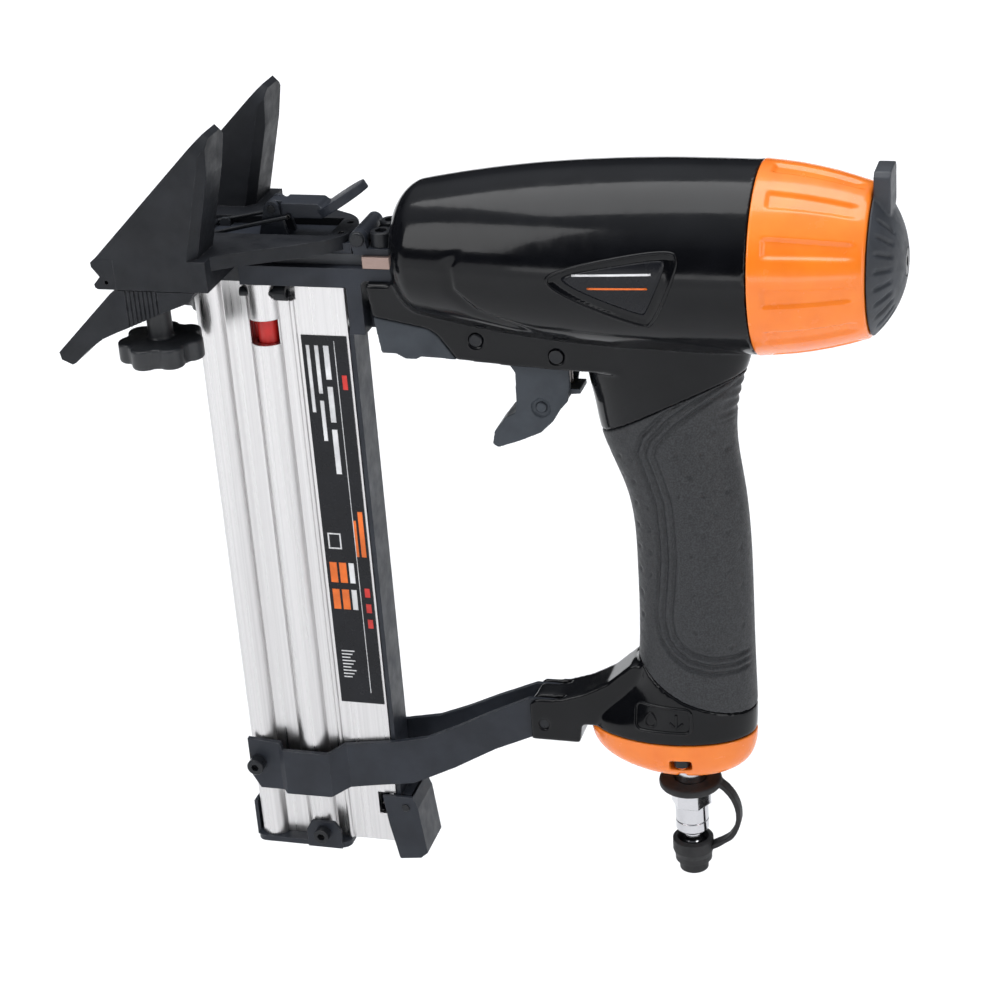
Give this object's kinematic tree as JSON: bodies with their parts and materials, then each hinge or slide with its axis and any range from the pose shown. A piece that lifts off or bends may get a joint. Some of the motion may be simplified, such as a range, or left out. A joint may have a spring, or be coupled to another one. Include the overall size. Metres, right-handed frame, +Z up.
{
  "type": "pneumatic flooring nailer",
  "caption": "Pneumatic flooring nailer with a magazine, a hinged nose and latch, a flooring shoe with an adjustable foot, a trigger, a grip and an air inlet plug.",
  "frame": {"origin": "apex of the notch in the tongue guide, where a fastener leaves the nose", "axes": "+X back along the driving axis to the exhaust, +Y across the tool, +Z up, away from the handle"},
  "size_m": [0.3137, 0.0924, 0.3225],
  "materials": {
    "housing_black": "gloss black paint on cast alloy",
    "cap_orange": "gloss orange paint on cast alloy",
    "grip_rubber": "moulded, textured",
    "grey_steel": "satin phosphated steel",
    "plain_steel": "ground",
    "screw_black": "black oxide",
    "magazine_aluminium": "brushed, clear anodised",
    "label": "printed film",
    "pusher_red": "moulded",
    "spring_steel": "drawn wire",
    "deflector_black": "moulded",
    "plug_chrome": "polished",
    "cap_rubber": "moulded",
    "valve_brass": "machined",
    "cylinder_aluminium": "machined",
    "bumper_urethane": "moulded",
    "seal_plastic": "moulded"
  },
  "bodies": {
    "frame": {"air_plug": "plug_chrome", "bracket_link": "grey_steel", "bumper": "bumper_urethane", "cap_strap": "cap_rubber", "cylinder_cap": "cap_orange", "cylinder_sleeve": "cylinder_aluminium", "deflector_screw": "screw_black", "end_cap_bolts": "screw_black", "grip_sleeve": "grip_rubber", "handle_cap_screws": "screw_black", "handle_end_cap": "cap_orange", "head_valve_spring": "spring_steel", "hinge_block": "grey_steel", "hinge_pin": "plain_steel", "housing": "housing_black", "magazine_body": "magazine_aluminium", "magazine_bolts": "screw_black", "magazine_end_cap": "grey_steel", "magazine_label": "label", "nose_base": "plain_steel", "nose_bracket": "grey_steel", "nose_screws": "screw_black", "stay_arm_far": "grey_steel", "stay_arm_near": "grey_steel", "stay_nut": "screw_black", "stay_pin": "plain_steel", "stay_screw": "screw_black", "trigger_cover": "grey_steel", "trigger_pin": "screw_black", "trigger_spring": "spring_steel", "valve_pins": "screw_black", "valve_sleeve": "valve_brass"},
    "nose_door": {"nose_door": "grey_steel", "latch_pin": "plain_steel", "shoe": "grey_steel", "shoe_screws": "screw_black", "tongue_guide": "grey_steel", "knob_studs": "plain_steel"},
    "latch_lever": {"latch_lever": "grey_steel"},
    "latch_wire": {"latch_wire": "spring_steel"},
    "foot": {"foot": "grey_steel"},
    "knob_near": {"knob_near": "grey_steel"},
    "knob_far": {"knob_far": "grey_steel"},
    "trigger": {"trigger": "grey_steel", "lever_pin": "plain_steel", "trigger_lever": "grey_steel"},
    "valve_stem": {"valve_stem": "plain_steel"},
    "piston": {"piston": "cylinder_aluminium", "piston_ring": "seal_plastic", "driver_blade": "plain_steel"},
    "head_valve": {"head_valve": "seal_plastic"},
    "exhaust_deflector": {"exhaust_deflector": "deflector_black"},
    "magazine_slide": {"magazine_slide": "grey_steel", "catch_pin": "plain_steel", "pusher_spring": "spring_steel", "catch_spring": "spring_steel"},
    "pusher": {"pusher": "pusher_red"},
    "catch": {"catch": "grey_steel"},
    "dust_cap": {"dust_cap": "cap_rubber"}
  },
  "joints": [
    {"name": "nose_door_swing", "type": "hinge", "parent": "frame", "child": "nose_door", "pos_m": [0.0912, 0, 0.0064], "axis": [0, 1, 0], "range_deg": [0, 30]},
    {"name": "latch_lever_swing", "type": "hinge", "parent": "nose_door", "child": "latch_lever", "pos_m": [0.056, 0, 0.015], "axis": [0, -1, 0], "range_deg": [0, 55]},
    {"name": "latch_wire_swing", "type": "hinge", "parent": "latch_lever", "child": "latch_wire", "pos_m": [0.063, 0, 0.0126], "axis": [0, -1, 0], "range_deg": [-55, 0]},
    {"name": "foot_slide", "type": "slide", "parent": "nose_door", "child": "foot", "axis": [1, 0, 0], "range_m": [-0.0025, 0.0045]},
    {"name": "knob_near_turn", "type": "hinge", "parent": "nose_door", "child": "knob_near", "pos_m": [0.0162, -0.03, -0.0316], "axis": [0, 0, 1], "continuous": true},
    {"name": "knob_far_turn", "type": "hinge", "parent": "nose_door", "child": "knob_far", "pos_m": [0.0162, 0.03, -0.0316], "axis": [0, 0, 1], "continuous": true},
    {"name": "trigger_pull", "type": "hinge", "parent": "frame", "child": "trigger", "pos_m": [0.1355, 0, -0.0303], "axis": [0, -1, 0], "range_deg": [0, 8], "stiffness_Nm_per_rad": 0.6, "springref_deg": -8.59, "deforming": ["trigger_spring"]},
    {"name": "valve_stem_slide", "type": "slide", "parent": "frame", "child": "valve_stem", "axis": [0, 0, 1], "range_m": [0, 0.0045]},
    {"name": "piston_stroke", "type": "slide", "parent": "frame", "child": "piston", "axis": [-1, 0, 0], "range_m": [0, 0.0685]},
    {"name": "head_valve_slide", "type": "slide", "parent": "frame", "child": "head_valve", "axis": [1, 0, 0], "range_m": [0, 0.004], "stiffness_N_per_m": 400, "springref_m": -0.003, "deforming": ["head_valve_spring"]},
    {"name": "deflector_turn", "type": "hinge", "parent": "frame", "child": "exhaust_deflector", "pos_m": [0.286, 0, 0], "axis": [1, 0, 0], "continuous": true},
    {"name": "magazine_slide_pull", "type": "slide", "parent": "frame", "child": "magazine_slide", "axis": [0, 0, -1], "range_m": [0, 0.12]},
    {"name": "pusher_travel", "type": "slide", "parent": "magazine_slide", "child": "pusher", "axis": [0, 0, -1], "range_m": [0, 0.18], "stiffness_N_per_m": 18, "springref_m": -0.03, "deforming": ["pusher_spring"]},
    {"name": "catch_press", "type": "hinge", "parent": "magazine_slide", "child": "catch", "pos_m": [0.0873, 0, -0.243], "axis": [0, 1, 0], "range_deg": [0, 12], "stiffness_Nm_per_rad": 0.15, "springref_deg": -8.59, "deforming": ["catch_spring"]},
    {"name": "dust_cap_pull", "type": "slide", "parent": "frame", "child": "dust_cap", "axis": [0, 0, -1], "range_m": [0, 0.03], "deforming": ["cap_strap"]}
  ],
  "couplings": [
    {"joint": "valve_stem_slide", "follows": "trigger_pull", "m_per_rad": 0.0308},
    {"joint": "latch_wire_swing", "follows": "latch_lever_swing", "ratio": -1}
  ]
}
